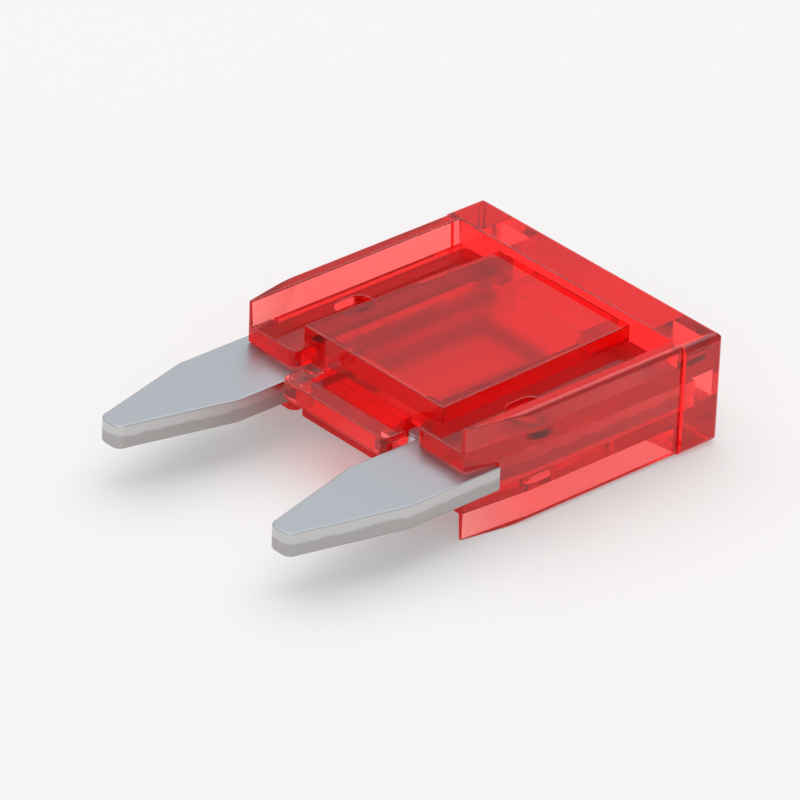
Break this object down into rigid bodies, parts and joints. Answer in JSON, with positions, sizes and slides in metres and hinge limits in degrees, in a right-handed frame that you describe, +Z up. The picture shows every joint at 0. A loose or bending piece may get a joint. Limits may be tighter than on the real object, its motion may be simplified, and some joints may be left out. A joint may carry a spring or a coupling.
{
  "type": "automotive blade fuse",
  "caption": "Mini automotive blade fuse: clear red moulded housing over a stamped zinc element with a thin link and flat tapered blades that push into a fuse holder.",
  "frame": {"origin": "centre of the bounding box at its bottom, where the flat face of the housing rests", "axes": "+Y from the blade tips towards the cap, +X across the blades, +Z up through the thickness"},
  "size_m": [0.011, 0.0164, 0.0038],
  "materials": {
    "red_polycarbonate": "glossy, transparent red, with faint flow and tool marks",
    "zinc_alloy": "dull rolled face with brighter sheared edges"
  },
  "bodies": {
    "root": {"housing": "red_polycarbonate", "fuse_element": "zinc_alloy"}
  },
  "joints": []
}
